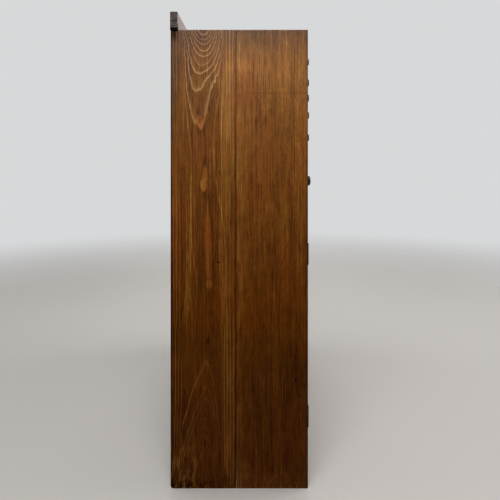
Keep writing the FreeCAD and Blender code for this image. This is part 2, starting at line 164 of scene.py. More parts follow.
def stain(text):
    # A stain's colour as a painter would note it, red-green-blue in hexadecimal
    parts = [int(text[i:i + 2], 16) / 255 for i in (0, 2, 4)]
    return tuple(p / 12.92 if p <= 0.04045 else ((p + 0.055) / 1.055) ** 2.4 for p in parts) + (1,)


def length(across, up):
    return (across * across + up * up).root()


def makeCamera():
    sight = {"place": (-1.594, -0.0314, 0.7466), "lens": 36, "shift": (-0.0156, -0.177)}
    bpy.ops.object.camera_add(location=sight["place"], rotation=(math.pi / 2, 0, -math.pi / 2))
    camera = bpy.context.object
    camera.data.lens = sight["lens"]
    camera.data.shift_x, camera.data.shift_y = sight["shift"]
    camera.data.dof.use_dof = False
    bpy.context.scene.camera = camera


def makeStage():
    stage = {"radius": 4.2, "fadeFrom": 1.5, "fadeTo": 3.9, "tone": "b4b0ab", "sides": 96}
    bpy.ops.mesh.primitive_circle_add(vertices=stage["sides"], radius=stage["radius"], fill_type="NGON")
    floor = bpy.context.object
    floor.name = "floor"
    net = Net("paleFloor")
    x, y, z = net.point()
    paint = net.node("BsdfPrincipled", {}, {"Base Color": stain(stage["tone"]), "Roughness": 0.55})
    air = net.node("BsdfTransparent", {}, {})
    away = length(x, y).step(stage["fadeFrom"], stage["fadeTo"])
    surface = net.node("MixShader", {}, {0: away, 1: paint, 2: air})
    net.node("OutputMaterial", {}, {"Surface": surface}, ())
    floor.data.materials.append(net.owner)


def makeLights():
    lights = [
        # name, place, what it faces, width, power in watts
        ("key", (-1.25, 0.1, 1.95), (-0.45, 0, 0.85), 0.7, 25),
        ("top", (0, 0, 3.6), (0, 0, 0), 3.4, 54),
        ("front", (0.5, -3, 2), (0, 0, 0.5), 2.2, 70),
        ("back", (0.5, 3, 2), (0, 0, 0.5), 2.2, 36),
        ("far", (3, 0, 2), (0.4, 0, 0.5), 2, 34),
    ]
    for name, place, aim, width, power in lights:
        bpy.ops.object.light_add(type="AREA", location=place)
        light = bpy.context.object
        light.name = name + "Light"
        light.data.size = width
        light.data.energy = power
        light.rotation_euler = (Vector(aim) - Vector(place)).to_track_quat("-Z", "Y").to_euler()
    world = bpy.data.worlds.new("studio")
    bpy.context.scene.world = world
    net = Net("studio", world)
    ray = net.node("LightPath", {}, {}, ("Is Camera Ray",))
    # The backdrop that the camera sees, and the soft light that comes from all round
    seen, lit = [net.node("Background", {}, {"Color": stain(tone), "Strength": strength})
                 for tone, strength in (("dedfe0", 0.93), ("e6e8ec", 0.1))]
    net.node("OutputWorld", {}, {"Surface": net.node("MixShader", {}, {0: ray, 1: lit, 2: seen})}, ())
    bpy.context.scene.view_settings.view_transform = "Standard"


makeCamera()
makeStage()
makeLights()
print("camera, floor and lights in place")

# What any board starts from; each board below says what is its own. A sawn board says its pith, which is where
# the heart lay across and behind the face, its taper, how fast the heart comes nearer along it, and its seed.
anyBoard = {
    "spacing": 0.0065,       # between growth rings
    "plane": 0,              # where the board lies along the third axis
    "ringShow": 0.14, "fibreShow": 0.34, "streakShow": 0.3, "blotchShow": 0.4, "poreShow": 0.1,
    "threadShow": 0.07, "mottleShow": 0.16,
    # how a ring pales towards its late wood: share of the ring, strength
    "ringShape": ((0, 0.3), (0.1, 0.02), (0.45, 0), (0.76, 0.35), (0.88, 1), (1, 0.3)),
    # each noise of the grain: how fine across and along the board, detail, roughness
    "torn": (300, 24, 2, 0.5), "fibre": (620, 11, 3, 0.6), "streak": (320, 1.3, 3, 0.7),
    "thread": (360, 2.2, 1, 0.5), "blotch": (11, 4, 3, 0.55), "mottle": (110, 32, 3, 1),
    "pore": (420, 34, 1, 0.5),
    "gloss": (0.38, 0.56), "relief": 0.3,
    "edge": 0.3,             # how much darker its rubbed edges are
}
stained = ((0.06, "341603"), (0.34, "6a3809"), (0.6, "9a5d22"), (0.94, "d19a5e"))
bare = ((0.06, "563820"), (0.34, "8b623b"), (0.62, "b3875a"), (0.94, "d8b489"))


def sawnRings(net, along, across, deep, look):
    # The log's rings as this board cuts them; its heart wanders and the rings waver
    heartAcross, heartDeep = look["pith"]
    seed = look["seed"]
    drift = net.noise(along * 1.7 + seed, seed * 3.1, 0, 1) - 0.5
    sideways = across - heartAcross + drift * 0.05
    behind = deep - look["plane"] + heartDeep + along * look["taper"] + drift * 0.06
    waver = (net.noise(across * 45 + seed, along * 5, deep * 45) - 0.5) * 0.8
    return length(sideways, behind) / look["spacing"] + waver


def layGrain(net, along, across, deep, look, rings):
    # Tone, 0 the darkest and 1 the palest, with the ring lines, fibres and blotches it is made from
    seed = look["seed"]

    def noise(kind):
        wide, long, detail, roughness = look[kind]
        if kind in ("fibre", "blotch", "mottle"):
            return net.noise(across * wide, along * long + seed, deep * wide, detail, roughness)
        return net.noise(across * wide + seed, along * long, deep * wide, detail, roughness)

    counted = rings + (noise("torn") - 0.5) * 0.3
    ring = counted.floor()
    weight = net.noise(ring * 3.7 + seed, along * 1.5, 0).step(0.3, 0.65)
    if "weights" in look:
        # Rings past the last drawn one keep the strength that chance gives them
        drawn = net.curve(ring, look["weights"], "LINEAR")
        last = look["weights"][-1][0]
        weight = drawn + (weight - drawn) * counted.step(last - 0.05, last)
    line = net.ramp(counted.fract(), look["ringShape"]) * (weight * 0.8 + 0.2)
    fibre, streak, blotch, mottle = [noise(kind) - 0.5 for kind in ("fibre", "streak", "blotch", "mottle")]
    tone = 0.5 + (line - 0.2) * look["ringShow"] + fibre * look["fibreShow"] + streak * look["streakShow"]
    tone += blotch * look["blotchShow"] + mottle * look["mottleShow"]
    tone -= noise("pore").step(0.62, 0.74) * look["poreShow"]
    tone -= noise("thread").step(0.6, 0.72) * look["threadShow"]
    return {"tone": tone, "line": line, "fibre": fibre, "blotch": blotch}


def finishWood(net, grain, look, colour, polish):
    low, high = look["gloss"]
    rough = (grain["blotch"] * 1.1 + 0.5 + grain["fibre"] * 0.7).clamp() * (high - low) + low
    height = grain["line"] * 0.35 + grain["fibre"] * 1.1
    relief = net.node("Bump", {}, {"Strength": look["relief"], "Distance": 0.0006, "Height": height})
    return net.surface({"Base Color": colour, "Roughness": rough, "Normal": relief, "Specular IOR Level": 0.03,
                        "Coat Weight": polish, "Coat Roughness": 0.42})


def finishFaced(net, grain, look, shown, weatheredAndShaded=None):
    # Bare wood, and where shown is 1 the stain darkened by the board's wash
    darkened = net.mix(1, net.shades(grain["tone"], stained), stain(look["wash"]), "MULTIPLY")
    colour = net.mix(shown, net.shades(grain["tone"], bare), darkened)
    polish = shown * look["polish"]
    # On the upstand's end: a share, its colour with a painted shadow line in it, and how much duller
    if weatheredAndShaded:
        share, worn, dull = weatheredAndShaded
        colour, polish = net.mix(share, colour, worn), polish * (1 - dull)
    return finishWood(net, grain, look, colour, polish)


def rubbedEdges(net, point, corners, reach=0.0022):
    # Broken patches along a box's edges; on its surface the middle gap is the way to the nearest edge
    gaps = [(high - low) / 2 - abs(value - (low + high) / 2) for value, low, high in zip(point, *corners)]
    least = gaps[0].least(gaps[1]).least(gaps[2])
    most = gaps[0].most(gaps[1]).most(gaps[2])
    worn = net.noise(*[value * 60 for value in point])
    return (gaps[0] + gaps[1] + gaps[2] - least - most).step(reach, 0) * (worn * 0.9 + 0.1)


def spot(across, up, place, reach):
    # 1 in the middle of a mark that is reach wide and high, 0 outside it
    aside = (across - place[0]) / reach[0]
    above = (up - place[1]) / reach[1]
    return (aside * aside + above * above).step(1, 0.1)


def fade(y, z, across, up):
    # Rises over a span across, over a span up, or over both
    share = y.step(*across) if across else 1
    return z.step(*up) * share if up else share


def plainMarks(net, y, z, signs):
    total = 0
    for place, reach, change in signs["spots"]:
        total = spot(y, z, place, reach) * change + total
    for across, up, change in signs["fades"]:
        total = fade(y, z, across, up) * change + total
    for (wide, high), seed, roughness, span, across, up, change in signs["stains"]:
        patchy = net.noise(y * wide, z * high, seed, 3, roughness).step(*span)
        total = patchy * fade(y, z, across, up) * change + total
    return total


def middleOf(name):
    # The middle of a node's box, across and up
    low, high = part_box(name)
    return (low[0] + high[0]) / 2, (low[2] + high[2]) / 2


def coat(piece, material):
    piece.data.materials.clear()
    piece.data.materials.append(material)


def dress(name, material):
    coat(nodes[name], material)


# The near end's rear board is cut through the crown of the log. Its heart line wanders, the rings close
# over it at the heights below, and outside the two legs they stand upright.
rearBoard = {
    **anyBoard,
    "seed": 3, "ringShow": 0.32, "streakShow": 0.34, "fibreShow": 0.58, "mottleShow": 0.42,
    "blotchShow": 0.16, "threadShow": 0.08, "poreShow": 0.15, "fibre": (420, 10, 3, 0.6),
    "ringShape": ((0, 0.46), (0.06, 0), (0.62, 0), (0.82, 0.2), (0.89, 0.5), (0.95, 1), (1, 0.46)),
    "crown": (
        (0, -1), (0.05, 0), (0.1013, 1), (0.1196, 2), (0.1402, 3), (0.1607, 4), (0.1836, 5),
        (0.2087, 6), (0.2339, 7), (0.2955, 8), (0.36, 8.55), (0.5, 8.75), (0.68, 8.75), (0.76, 8.5),
        (0.813, 8), (0.9063, 7), (0.9462, 6), (0.9647, 5), (0.9862, 4), (0.9976, 3), (1.0133, 2),
        (1.0241, 1), (1.0346, 0), (1.05, -0.8),
    ),
    # how strongly the line at the end of each ring shows
    "weights": ((-1, 0.55), (0, 0.16), (1, 0.38), (2, 0.48), (3, 0.62), (4, 0.08), (5, 0.62),
                (6, 0.58), (7, 0.66), (8, 0.5)),
    "heart": (
        (0, 0.093), (0.131, 0.0925), (0.24, 0.09), (0.295, 0.0865), (0.455, 0.083), (0.59, 0.086),
        (0.735, 0.093), (0.813, 0.0985), (0.9075, 0.108), (0.9463, 0.102), (0.985, 0.0925), (1.05, 0.0925),
    ),
    "pale": 0.55,
    "middle": 0.0925, "legs": (0.048, 0.046),      # the crown's middle, and how far its legs stand to each side
    "legRing": 9, "legSpacing": 0.0072,
    # how bluntly the arcs turn down into the legs: from and to up, change
    "bluntness": ((0.8, 1, 0.75), (0.3, 0.5, 0.2)),
    # the arrow heads near the foot: where they start, their middle, and for its rear and front side how steep
    # they start and how they steepen
    "footBelow": (0.42, 0.34), "liftBelow": 0.5, "footMiddle": 0.0876, "slopes": (2, 0.6), "bends": (14, 145),
}
rearSigns = {
    # spots: middle (y, z), half size, change in tone; first knots and bruises, then the finish thicker or thinner
    "spots": (
        ((0.0828, 0.336), (0.0035, 0.009), -0.26), ((0.0896, 0.101), (0.003, 0.01), -0.2),
        ((0.1422, 0.03), (0.004, 0.01), -0.25), ((0.0577, 0.5165), (0.0065, 0.0034), -0.28),
        ((0.068, 0.59), (0.016, 0.19), -0.11), ((0.0983, 0.505), (0.009, 0.08), -0.05),
        ((0.1285, 0.56), (0.018, 0.36), 0.08), ((0.16, 0.98), (0.024, 0.17), -0.17),
        ((0.128, 0.985), (0.016, 0.12), -0.08), ((0.156, 0.56), (0.015, 0.22), 0.12),
        ((0.128, 0.27), (0.018, 0.08), 0.07), ((0.128, 0.09), (0.02, 0.07), 0.07),
        ((0.043, 0.76), (0.018, 0.27), 0.11), ((0.044, 0.4), (0.016, 0.14), 0.07),
        ((0.044, 0.23), (0.018, 0.14), 0.07),
    ),
    # fades: from and to across, from and to up, change
    "fades": (
        ((0.1615, 0.166), (), -0.22), ((0.156, 0.1679), (), -0.06), ((0.1664, 0.1676), (), -0.22),
        # the first fade below darkens the top back corner under the upstand: a painted shadow under its foot
        ((0.146, 0.156), (1.02, 1.04), -0.26), ((0.02, 0.0191), (), -0.24),
        ((0.026, 0.02), (0.145, 0.1), -0.2), ((), (0.46, 0.36), 0.045), ((), (0.28, 0.18), -0.03),
        # the paler foot below (up to 0.05) is painted light, offsetting the shade where the board meets the floor
        ((), (0.05, 0), 0.03), ((), (0.995, 1.03), -0.05),
    ),
    # stains: how fine across and up, seed, roughness, span of the noise, then as a fade
    "stains": (
        ((90, 60), 4, 0.6, (0.45, 0.58), (), (0.045, 0.005), -0.18),
        ((90, 60), 4, 0.6, (0.45, 0.58), (0.1, 0.14), (0.045, 0.005), -0.16),
        ((120, 26), 9, 0.6, (0.46, 0.6), (0.075, 0.13), (0.13, 0.04), 0.34),
    ),
}
frontBoard = {
    **anyBoard, "pale": 0.04, "seed": 11, "plane": -0.442, "pith": (0.21, 0.03), "taper": 0.01,
    "spacing": 0.0046, "ringShow": 0.09, "streakShow": 0.42, "fibreShow": 0.62, "mottleShow": 0.5,
    "blotchShow": 0.26, "threadShow": 0.07, "poreShow": 0.16, "fibre": (420, 10, 3, 0.6),
}
frontSigns = {
    "spots": (
        ((-0.1182, 0.245), (0.0025, 0.006), -0.3), ((-0.128, 0.72), (0.024, 0.38), 0.08),
        ((-0.093, 0.95), (0.022, 0.17), 0.11), ((-0.093, 0.57), (0.018, 0.13), 0.08),
        ((-0.01, 1.01), (0.04, 0.08), 0.08), ((-0.1072, 0.27), (0.034, 0.09), -0.05),
        ((-0.123, 0.13), (0.026, 0.12), 0.06), ((0, 0.45), (0.02, 0.07), 0.05),
        ((0.002, 0.62), (0.02, 0.32), 0.06),
    ),
    "fades": (
        ((0.0166, 0.0177), (), -0.24), ((-0.1425, -0.1455), (), -0.14), ((-0.004, 0.01), (), 0.05),
        # the last fade here, a paler foot up to 0.08, is painted light against the shade where it meets the floor
        ((-0.004, 0.01), (0.6, 0.45), 0.1), ((-0.075, -0.125), (), -0.03), ((), (0.08, 0), 0.1),
    ),
    "stains": (
        ((70, 60), 2, 0.6, (0.48, 0.62), (), (1, 1.035), -0.09),
        ((30, 14), 7, 0.55, (0.5, 0.68), (), (), -0.06),
        ((120, 50), 5, 0.6, (0.56, 0.66), (), (0.07, 0.01), 0.18),
    ),
}
endFinish = {
    # where the stain ends: in from the face, behind the front edge, below the top, before the back edge
    "face": (0.45, 0.4488), "front": (-0.1448, -0.1436), "top": (1.047, 1.046), "back": (0.1678, 0.1672),
    # darker from the top down to the floor, part age, part painted shade; the grey-blue top is painted sheen
    "height": 1.05,
    "ages": ((0, "968e80"), (0.05, "978c75"), (0.3, "a19773"), (0.52, "bcb086"), (0.66, "cfc9a2"),
             (0.8, "e0e3c8"), (0.965, "f5fdf0"), (1.033, "c4d2d6"), (1.05, "b6c6cc")),
    "hues": ((0.3, "fff3ef"), (0.7, "f2faee")), "warm": "ffe0aa",
    "line": "dcb98c", "lineFrom": (0.78, 0.97),      # the pale late wood, and the height at which it shows
    "polish": 0.8, "polishFrom": (0.35, 1.05), "dull": ((0.148, 0.16), (1.01, 1.036)),
}


def crownRings(net, z, y, x, look):
    seed = look["seed"]
    middle = y - look["middle"]
    rearward = middle.over(0)
    leg, slope, bend = [rearward * (look[key][0] - look[key][1]) + look[key][1] for key in ("legs", "slopes", "bends")]
    foot = z.step(*look["footBelow"])
    aslant = abs(y - look["footMiddle"])
    lifted = aslant * (aslant * bend + slope) * foot
    crown = net.curve((z + lifted).least(z.most(look["liftBelow"])), look["crown"])
    within = (1 - middle * middle / (leg * leg)).most(0)
    aside = middle - (net.curve(z, look["heart"]) - look["middle"]) * within
    share = abs(aside) / leg
    ragged = (net.noise(y * 170 + seed, z * 60, 0, 3) - 0.5) * 0.22 + 1
    blunt = 1
    for low, high, change in look["bluntness"]:
        blunt = z.step(low, high) * change + blunt
    bow = (share * ragged).clamp() ** blunt
    outside = (share - 1).most(0) * leg / look["legSpacing"]
    wobble = (net.noise(y * 40 + seed, z * 3, 0) - 0.5) * 0.35
    return crown + (look["legRing"] - crown) * bow * (1 - foot) + outside + wobble


def endBoard(name, look, signs, rings, ringMask=None, figure=None):
    # A board of an end: stained outside and darker down its height (age and painted shade), bare inside
    look = {**endFinish, **look}
    net = Net(name)
    x, y, z = net.point()
    counted = rings(net, z, y, x, look)
    grain = layGrain(net, z, y, x, look, counted)
    crown = ringMask(y, z) if ringMask else 1
    drawn, warmth = figure(net, y, z, counted) if figure else (0, None)
    grain["tone"] += (grain["line"] - 0.2) * (crown - 1) * look["ringShow"] + plainMarks(net, y, z, signs) + drawn
    # Partly age, partly painted shade darkening it downwards; the grey-blue at the top is a painted sheen
    agedLitColour = net.shades(z / look["height"], [(at / look["height"], shade) for at, shade in look["ages"]])
    hue = net.shades(net.noise(y * 16 + look["seed"], z * 6, 0), look["hues"])
    inside = abs(x).step(*look["face"]) * y.step(*look["front"]) * z.step(*look["top"]) * y.step(*look["back"])
    colour = net.shades(grain["tone"], stained)
    if warmth:
        colour = net.mix(warmth, colour, stain(look["warm"]), "MULTIPLY")
    colour = net.mix(1, colour, net.mix(1, agedLitColour, hue, "MULTIPLY"), "MULTIPLY")
    pale = grain["line"] * crown * z.step(*look["lineFrom"]) * look["pale"]
    colour = net.mix(inside, net.mix(pale, colour, stain(look["line"])), net.shades(grain["tone"], bare))
    polish = z.step(*look["polishFrom"]) * (1 - inside) * (1 - fade(y, z, *look["dull"])) * look["polish"]
    return finishWood(net, grain, look, colour, polish)


rearFigure = {
    # pale islands: middle, half size, lean, strength inside and along the outline, warmth
    "islands": (
        ((0.0906, 0.7066), (0.0064, 0.031), -0.0021, 0.3, 0.06, 0.5),
        ((0.0924, 0.6929), (0.0082, 0.0165), 0, 0.32, 0.07, 0.5),
        ((0.0812, 0.549), (0.008, 0.0937), 0.0029, 0.22, 0.1, 2),
        ((0.0796, 0.4668), (0.0082, 0.012), 0, 0.26, 0.06, 0.5),
        ((0.101, 0.836), (0.008, 0.02), 0.002, 0.22, 0, 5),
    ),
    "halo": 0.07,
    # thin pale lines that wander down between the crown and the foot: (z, y) along each, strength
    "strings": (
        (((0.433, 0.0432), (0.5262, 0.0418), (0.6016, 0.0474), (0.6518, 0.0549), (0.7042, 0.0645), (0.7546, 0.0686),
          (0.8071, 0.0695), (0.8562, 0.0652), (0.8962, 0.0581), (0.9487, 0.0572)), 0.2),
        (((0.71, 0.05), (0.79, 0.052), (0.8619, 0.0509), (0.8962, 0.0481), (0.9487, 0.0458)), 0.17),
        (((0.433, 0.1063), (0.5056, 0.112), (0.5627, 0.1196), (0.6769, 0.1216), (0.7317, 0.1196), (0.7728, 0.1216),
          (0.8185, 0.1267), (0.8574, 0.1308), (0.8962, 0.1349), (0.9373, 0.1367)), 0.2),
    ),
    # fine dark lines where the rings stand upright on both sides of the crown
    "upright": {"pitch": 0.0051, "stray": 1.6, "depth": 0.12, "sides": ((0.117, 0.125), (0.07, 0.062)),
                "foot": (0.22, 0.36), "head": (0.96, 0.86)},
    # soft arrow heads between the drawn ones: above the floor, below the heart's turn, strength
    "heads": ((0.03, 0.07), (0.31, 0.27), 0.06),
    "orange": {"place": (0.0375, 0.07), "reach": (0.009, 0.075), "strength": 0.2, "warmth": 4},
    # an arc worn into the lower back corner
    "arc": {"centre": (0.1609, 0.007), "radius": 0.0075, "width": 0.0022, "strength": 0.3},
}


def drawRear(net, y, z, counted):
    # What stands only once on the near end's rear board, and how warm its colour is there
    glow, warmth, halo = 0, 0, 0
    ragged = (net.noise(y * 260, z * 30, 0) - 0.5) * 0.5
    for place, reach, lean, inner, rim, warm in rearFigure["islands"]:
        # A ring only grazes the face here, so its outline is brighter and there is a darker halo round it
        up = (z - place[1]) / reach[1]
        far = length((y - place[0] - up * lean) / reach[0], up) + ragged
        shape = far.step(1.05, 0.75) * inner + abs(far - 0.95).step(0.22, 0) * rim
        glow, warmth, halo = shape.most(glow), shape * warm + warmth, far.step(2, 1.1).most(halo)
    total = glow - halo * rearFigure["halo"]
    broken = net.noise(y * 200, z * 26, 13).step(0.3, 0.6) * 0.6 + 0.4
    for stops, strength in rearFigure["strings"]:
        foot, head = stops[0][0], stops[-1][0]
        within = z.step(foot - 0.03, foot + 0.03) * z.step(head + 0.02, head - 0.02)
        total += abs(y - net.curve(z, stops)).step(0.0024, 0.0006) * within * broken * strength
    look = rearFigure["upright"]
    phase = (y / look["pitch"] + (net.noise(y * 30, z * 2.5, 31) - 0.5) * look["stray"]).fract()
    front, rear = look["sides"]
    sides = (y.step(*front) + y.step(*rear)) * z.step(*look["foot"]) * z.step(*look["head"])
    total -= abs(phase - 0.5).step(0.2, 0.04) * sides * (broken * 0.7 + 0.3) * look["depth"]
    low, high, strength = rearFigure["heads"]
    heads = abs((counted + 0.55).fract() - 0.5).step(0.28, 0) * z.step(*high) * z.step(*low) * strength
    beside = y.step(0.056, 0.04) * y.step(0.018, 0.024) * (z.step(0.6, 0.45) * 0.07 + 0.06)
    look = rearFigure["orange"]
    patchy = net.noise(y * 60, z * 14, 6).step(0.35, 0.55)
    orange = spot(y, z, look["place"], look["reach"]) * patchy * look["strength"]
    warmth += orange * look["warmth"]
    look = rearFigure["arc"]
    far = length(y - look["centre"][0], z - look["centre"][1])
    arc = abs(far - look["radius"]).step(look["width"], 0) * y.step(0.158, 0.163) * z.step(0.012, 0.006)
    total += heads + beside + orange + arc * look["strength"]
    return total, warmth.clamp()


def drawFront(net, y, z, counted):
    # A scored line across the front board, and a splinter gone from its foot beside the joint
    scored = abs(z - 0.903).step(0.0035, 0) * y.step(0, -0.01) * -0.07
    splinter = abs(y - 0.0163 + (z - 0.019) * 0.08).step(0.0012, 0.0004) * z.step(0.021, 0.017) * 0.45
    return scored + splinter, None


def rearRingMask(y, z):
    # Where the rear board's ring lines show: fully at the top, less lower down and outside the legs
    beyond = (y.step(0.134, 0.142) * 0.7 + y.step(0.054, 0.048) * 0.35) * z.step(0.6, 0.8)
    legs = abs(y - rearBoard["middle"]).step(0.02, 0.032) * z.step(0.88, 0.76) * (y.step(0.075, 0.11) * 0.4 + 0.6)
    return (z.step(0.7, 0.86) * 0.4 + 0.6 + z.step(0.36, 0.28) * 0.05 + legs) * (1 - beyond)


dress("side_left_rear_board", endBoard("nearEndRear", rearBoard, rearSigns, crownRings, rearRingMask, drawRear))
dress("side_left_front_board", endBoard("nearEndFront", frontBoard, frontSigns, sawnRings, None, drawFront))
print("near end dressed")

# The far end has boards of its own from the same logs
farRearBoard = {
    **rearBoard, "seed": 27, "pale": 0.1, "middle": 0.105, "legs": (0.043, 0.052),
    "crown": ((0, 8.6), (0.2, 8.7), (0.36, 8.1), (0.43, 7), (0.49, 6), (0.54, 5), (0.58, 4), (0.63, 3),
              (0.69, 2.4), (0.76, 3), (0.83, 4), (0.9, 5), (0.96, 6), (1.05, 7)),
    "heart": ((0, 0.1), (0.3, 0.102), (0.5, 0.108), (0.69, 0.105), (0.85, 0.098), (1.05, 0.101)),
}
farRearSigns = {
    "spots": (((0.101, 0.69), (0.006, 0.011), -0.34), ((0.06, 0.212), (0.003, 0.009), -0.24)),
    "fades": (((0.1615, 0.166), (), -0.2), ((0.1664, 0.1676), (), -0.22), ((0.02, 0.0191), (), -0.24)),
    "stains": (((110, 50), 3, 0.6, (0.5, 0.62), (), (0.08, 0.01), -0.22),),
}
farFrontBoard = {**frontBoard, "seed": 43, "plane": 0.442, "pith": (0.19, 0.05), "ringShow": 0.14}
farFrontSigns = {
    "spots": (((-0.06, 0.48), (0.004, 0.006), -0.24), ((-0.112, 0.77), (0.002, 0.01), 0.2)),
    "fades": (((0.0166, 0.0177), (), -0.24), ((-0.1425, -0.1455), (), -0.14)),
    "stains": (((26, 12), 17, 0.55, (0.5, 0.68), (), (), -0.07),),
}
dress("side_right_rear_board", endBoard("farEndRear", farRearBoard, farRearSigns, crownRings,
                                        lambda y, z: z.step(0.36, 0.5) * 0.4 + 0.35))
dress("side_right_front_board", endBoard("farEndFront", farFrontBoard, farFrontSigns, sawnRings))
print("ends dressed")


def faced(name, look, showing, corners=None, marks=None, weatheredAndShaded=None):
    # A board that is stained where it shows and bare elsewhere; showing gives 1 on the stained part. The axes
    # of its look are the one the grain runs along, then the one across its face.
    look = {**anyBoard, **look}
    net = Net(name)
    point = net.point()
    axes = ["XYZ".index(axis) for axis in look["axes"]]
    axes.append(3 - sum(axes))
    along, across, deep = [point[axis] for axis in axes]
    if corners:
        look["plane"] = (corners[0][axes[2]] + corners[1][axes[2]]) / 2
    grain = layGrain(net, along, across, deep, look, sawnRings(net, along, across, deep, look))
    if corners:
        grain["tone"] -= rubbedEdges(net, point, corners) * look["edge"]
    if marks:
        grain["tone"] += marks(net, *point)
    return finishFaced(net, grain, look, showing(*point), weatheredAndShaded(net, *point) if weatheredAndShaded else None)


frontY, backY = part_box("side_left_front_board")[0][1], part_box("back_boards")[1][1]
cupRings = {
    # place (x, y), radius, depth
    "rings": (((-0.21, 0.02), 0.041, 0.1), ((-0.13, -0.035), 0.038, 0.07), ((0.262, 0.045), 0.044, 0.08)),
    "width": (0.003, 0.0006),
}


def frontEdge(x, y, z):
    return y.step(frontY + 0.0022, frontY + 0.0012)


def topMarks(net, x, y, z):
    # Cup rings, scratches and the paler track that hands and goods have rubbed along the front
    total = 0
    for place, radius, depth in cupRings["rings"]:
        broken = net.noise(x * 40, y * 40, 1).step(0.38, 0.56)
        far = length(x - place[0], y - place[1])
        total = abs(far - radius).step(*cupRings["width"]) * broken * -depth + total
    scratch = net.noise(x * 26 + y * 14, y * 420 - x * 150, 2).step(0.66, 0.72) * 0.1
    rubbed = y.step(-0.05, -0.145) * net.noise(x * 6, y * 20, 5, 3).step(0.35, 0.65) * 0.1
    dust = y.step(0.13, 0.151) * -0.1
    return total + scratch + rubbed + dust - frontEdge(x, y, z) * 0.12


def upstandMarks(net, x, y, z):
    return z.step(1.064, 1.06) * y.step(0.154, 0.15) * -0.1


def upstandEnd(net, x, y, z):
    # Grey end grain in bands, with a black line where it stands on the top: painted shadow of the gap beneath it
    end = abs(x).step(0.4488, 0.4508)
    bands = net.noise(y * 80, z * 430, 3, 2, 0.6)
    grey = net.shades(bands, ((0.3, "221b19"), (0.52, "3d332f"), (0.72, "62554f")))
    line = z.step(1.055, 1.0525) + abs(z - 1.069).step(0.003, 0.0008) * 0.45
    # The black of the line is painted shadow in the gap under the upstand
    return end, net.mix(line, grey, stain("050404")), end * (line * 0.7 + 0.3)


topLook = {"axes": "XY", "pith": (0.05, 0.06), "taper": 0.02, "seed": 51, "ringShow": 0.24,
           "streakShow": 0.45, "fibreShow": 0.45, "polish": 0.55, "wash": "dcd6c2", "edge": 0.18}
# The upstand's greyish wash is partly a painted sheen of the light its front face reflects at a grazing angle
upstandLook = {"axes": "XZ", "pith": (1.02, 0.02), "taper": 0, "seed": 57, "ringShow": 0.14,
               "streakShow": 0.4, "polish": 0.55, "wash": "b9ada2", "edge": 0.4}
dress("top_board", faced("topWood", topLook, lambda x, y, z: z.step(1.0372, 1.0384).most(frontEdge(x, y, z)),
                         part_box("top_board"), topMarks))
dress("upstand", faced("upstandWood", upstandLook, lambda x, y, z: z.step(1.045, 1.046),
                       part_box("upstand"), upstandMarks, upstandEnd))
print("top and upstand dressed")


def insideDust(net, x, y, z):
    return net.noise(x * 9, y * 14, z * 9, 3, 0.6).step(0.45, 0.7) * -0.1


def plinthMarks(net, x, y, z):
    return net.noise(x * 40, z * 60, 2, 3, 0.6).step(0.5, 0.62) * z.step(0.03, 0) * -0.18


insideLook = {"pith": (0.03, 0.07), "taper": 0.03, "ringShow": 0.16, "streakShow": 0.35, "polish": 0.3,
              "wash": "b5a58a", "edge": 0.2}
plinthLook = {"axes": "XZ", "seed": 91, "pith": (-0.05, 0.04), "taper": 0.02, "streakShow": 0.45,
              "polish": 0.3, "wash": "8f8268"}
insideBoards = {
    # node: axes, seed, whether it is a single box with edges to rub
    "drawer_deck": ("XY", 61, True), "middle_shelf": ("XY", 64, True),
    "cupboard_shelf": ("XY", 67, True), "bottom_board": ("XY", 71, True),
    "column_dividers": ("ZY", 74, False), "centre_divider": ("ZY", 77, True),
    "drawer_rails": ("XY", 81, False), "drawer_runners": ("YX", 84, False),
    "door_stop": ("XZ", 87, True),
}
for name, (axes, seed, single) in insideBoards.items():
    look = {**insideLook, "axes": axes, "seed": seed}
    dress(name, faced(name + "Wood", look, frontEdge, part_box(name) if single else None, insideDust))
dress("plinth_board", faced("plinthWood", plinthLook, lambda x, y, z: y.step(-0.118, -0.12),
                            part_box("plinth_board"), plinthMarks))
print("carcase inside dressed")

backBoards = {
    **anyBoard, "seed": 101, "count": 6, "low": -0.442, "width": 0.884 / 6, "spacing": 0.006, "ringShow": 0.2,
    "streakShow": 0.4, "gloss": (0.66, 0.84), "relief": 0.5,
    "shades": ((0.06, "2f2417"), (0.34, "5c4630"), (0.62, "80654a"), (0.94, "a98e6c")),
    "nailRows": (0.07, 0.347, 0.617, 0.774), "nailAside": 0.045,
    "edgeDark": 0.22, "rustDark": 0.2, "tideDark": 0.2, "dampDark": 0.3, "sawPitch": 900,
}


